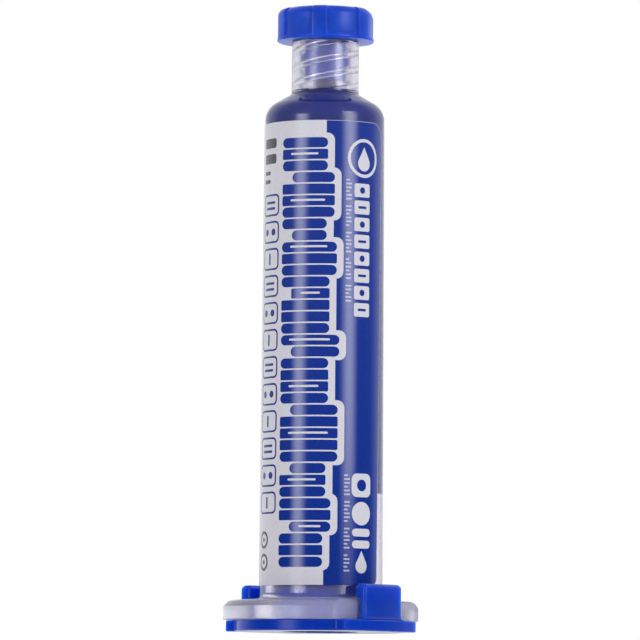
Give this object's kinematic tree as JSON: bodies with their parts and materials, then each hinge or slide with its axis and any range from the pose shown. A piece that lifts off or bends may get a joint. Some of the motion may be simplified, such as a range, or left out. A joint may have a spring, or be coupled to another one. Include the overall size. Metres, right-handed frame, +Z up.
{
  "type": "dispensing syringe",
  "caption": "Filled dispensing syringe barrel standing upright, with a ribbed tip cap on its luer-lock end and a clip-fit end cap under its finger flange.",
  "frame": {"origin": "on the barrel's axis, at the underside of the end cap that it stands on", "axes": "+Z up the barrel's axis towards the tip cap; the end cap's two hooks stand on +X and -X; the finger flange's wings point along +Y and -Y"},
  "size_m": [0.0256, 0.03, 0.096],
  "materials": {
    "clear_plastic": "clear, slightly hazy polypropylene",
    "tip_cap_plastic": "blue, semi-gloss",
    "end_cap_plastic": "blue, semi-gloss",
    "piston_plastic": "natural white, matt",
    "ink": "thick navy blue paste, wet",
    "label_film": "printed film, satin"
  },
  "bodies": {
    "syringe": {"barrel": "clear_plastic", "end_cap": "end_cap_plastic", "ink": "ink", "label": "label_film"},
    "tip_cap": {"tip_cap": "tip_cap_plastic"},
    "piston": {"piston": "piston_plastic"}
  },
  "joints": [
    {"name": "tip_cap_pull", "type": "slide", "parent": "syringe", "child": "tip_cap", "axis": [0, 0, 1], "range_m": [0, 0.012]},
    {"name": "piston_slide", "type": "slide", "parent": "syringe", "child": "piston", "axis": [0, 0, 1], "range_m": [0, 0.057], "deforming": ["ink"]}
  ]
}
